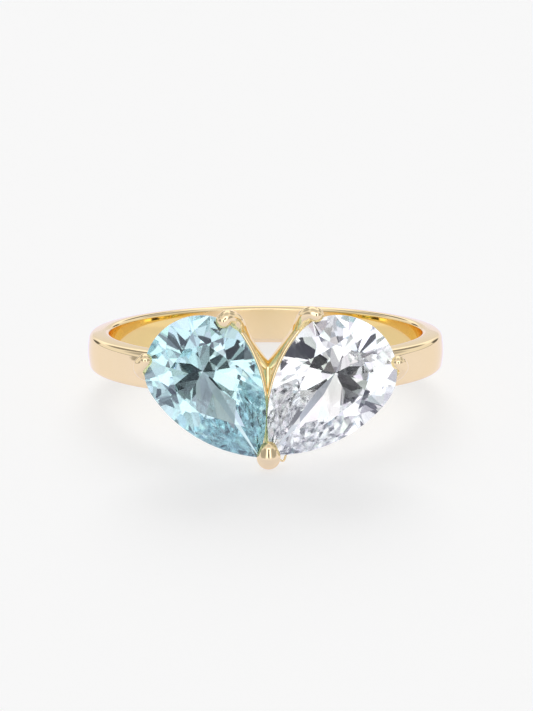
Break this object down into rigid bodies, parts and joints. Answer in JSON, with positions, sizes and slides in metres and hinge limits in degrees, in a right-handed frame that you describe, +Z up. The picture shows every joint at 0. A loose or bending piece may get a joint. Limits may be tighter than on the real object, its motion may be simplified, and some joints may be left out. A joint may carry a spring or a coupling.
{
  "type": "two-stone birthstone ring",
  "caption": "Polished gold finger ring with an aqua and a clear pear-cut stone set tip to tip as a heart on beaded claws.",
  "frame": {"origin": "middle of the box on the surface that the ring lies on", "axes": "+Z up from that surface, -Y towards the head, +X to the clear stone's side; the finger hole's axis leans 8.62 degrees from +Z towards +Y"},
  "size_m": [0.0198, 0.0232, 0.0086],
  "materials": {
    "gold": "high polish, 14 carat yellow gold",
    "aqua": "polished facets, pale aqua blue",
    "clear": "polished facets, colourless"
  },
  "bodies": {
    "root": {"ring_mount": "gold", "aqua_stone": "aqua", "clear_stone": "clear"}
  },
  "joints": []
}
